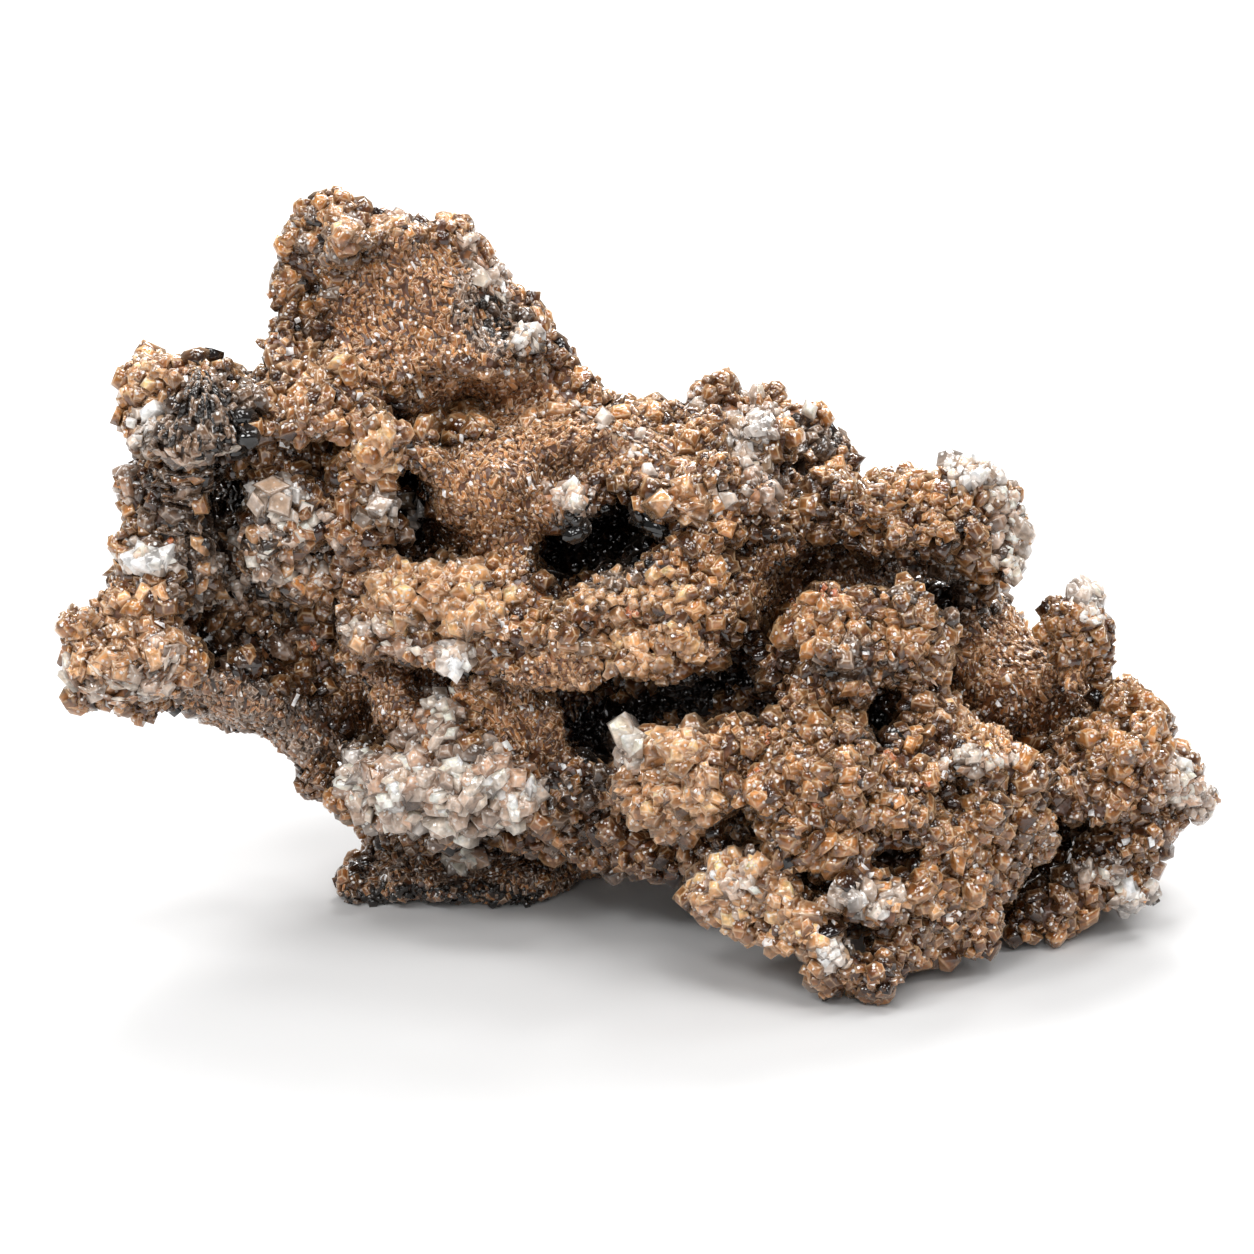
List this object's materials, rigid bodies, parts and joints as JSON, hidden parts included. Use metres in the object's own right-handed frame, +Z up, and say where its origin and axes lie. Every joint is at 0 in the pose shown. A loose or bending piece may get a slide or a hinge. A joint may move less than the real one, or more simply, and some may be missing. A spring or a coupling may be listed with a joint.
{
  "type": "barite crystal cluster",
  "caption": "Lump of brown stone covered with small blocky barite crystals, with a blunt peak, hollows and three low feet.",
  "frame": {"origin": "middle of the bounding box, on the plane that the piece stands on", "axes": "+X to the right along the longest extent, +Y from the front to the back, +Z up"},
  "size_m": [0.1156, 0.0586, 0.0735],
  "materials": {
    "honey_druse": "glittering skin of small honey-brown crystals",
    "pale_crystal": "clear to milky crystals with a glassy shine",
    "dark_matrix": "dark grey-brown rock with a fine sugary skin"
  },
  "bodies": {
    "root": {"barite_cluster": "honey_druse"}
  },
  "joints": []
}
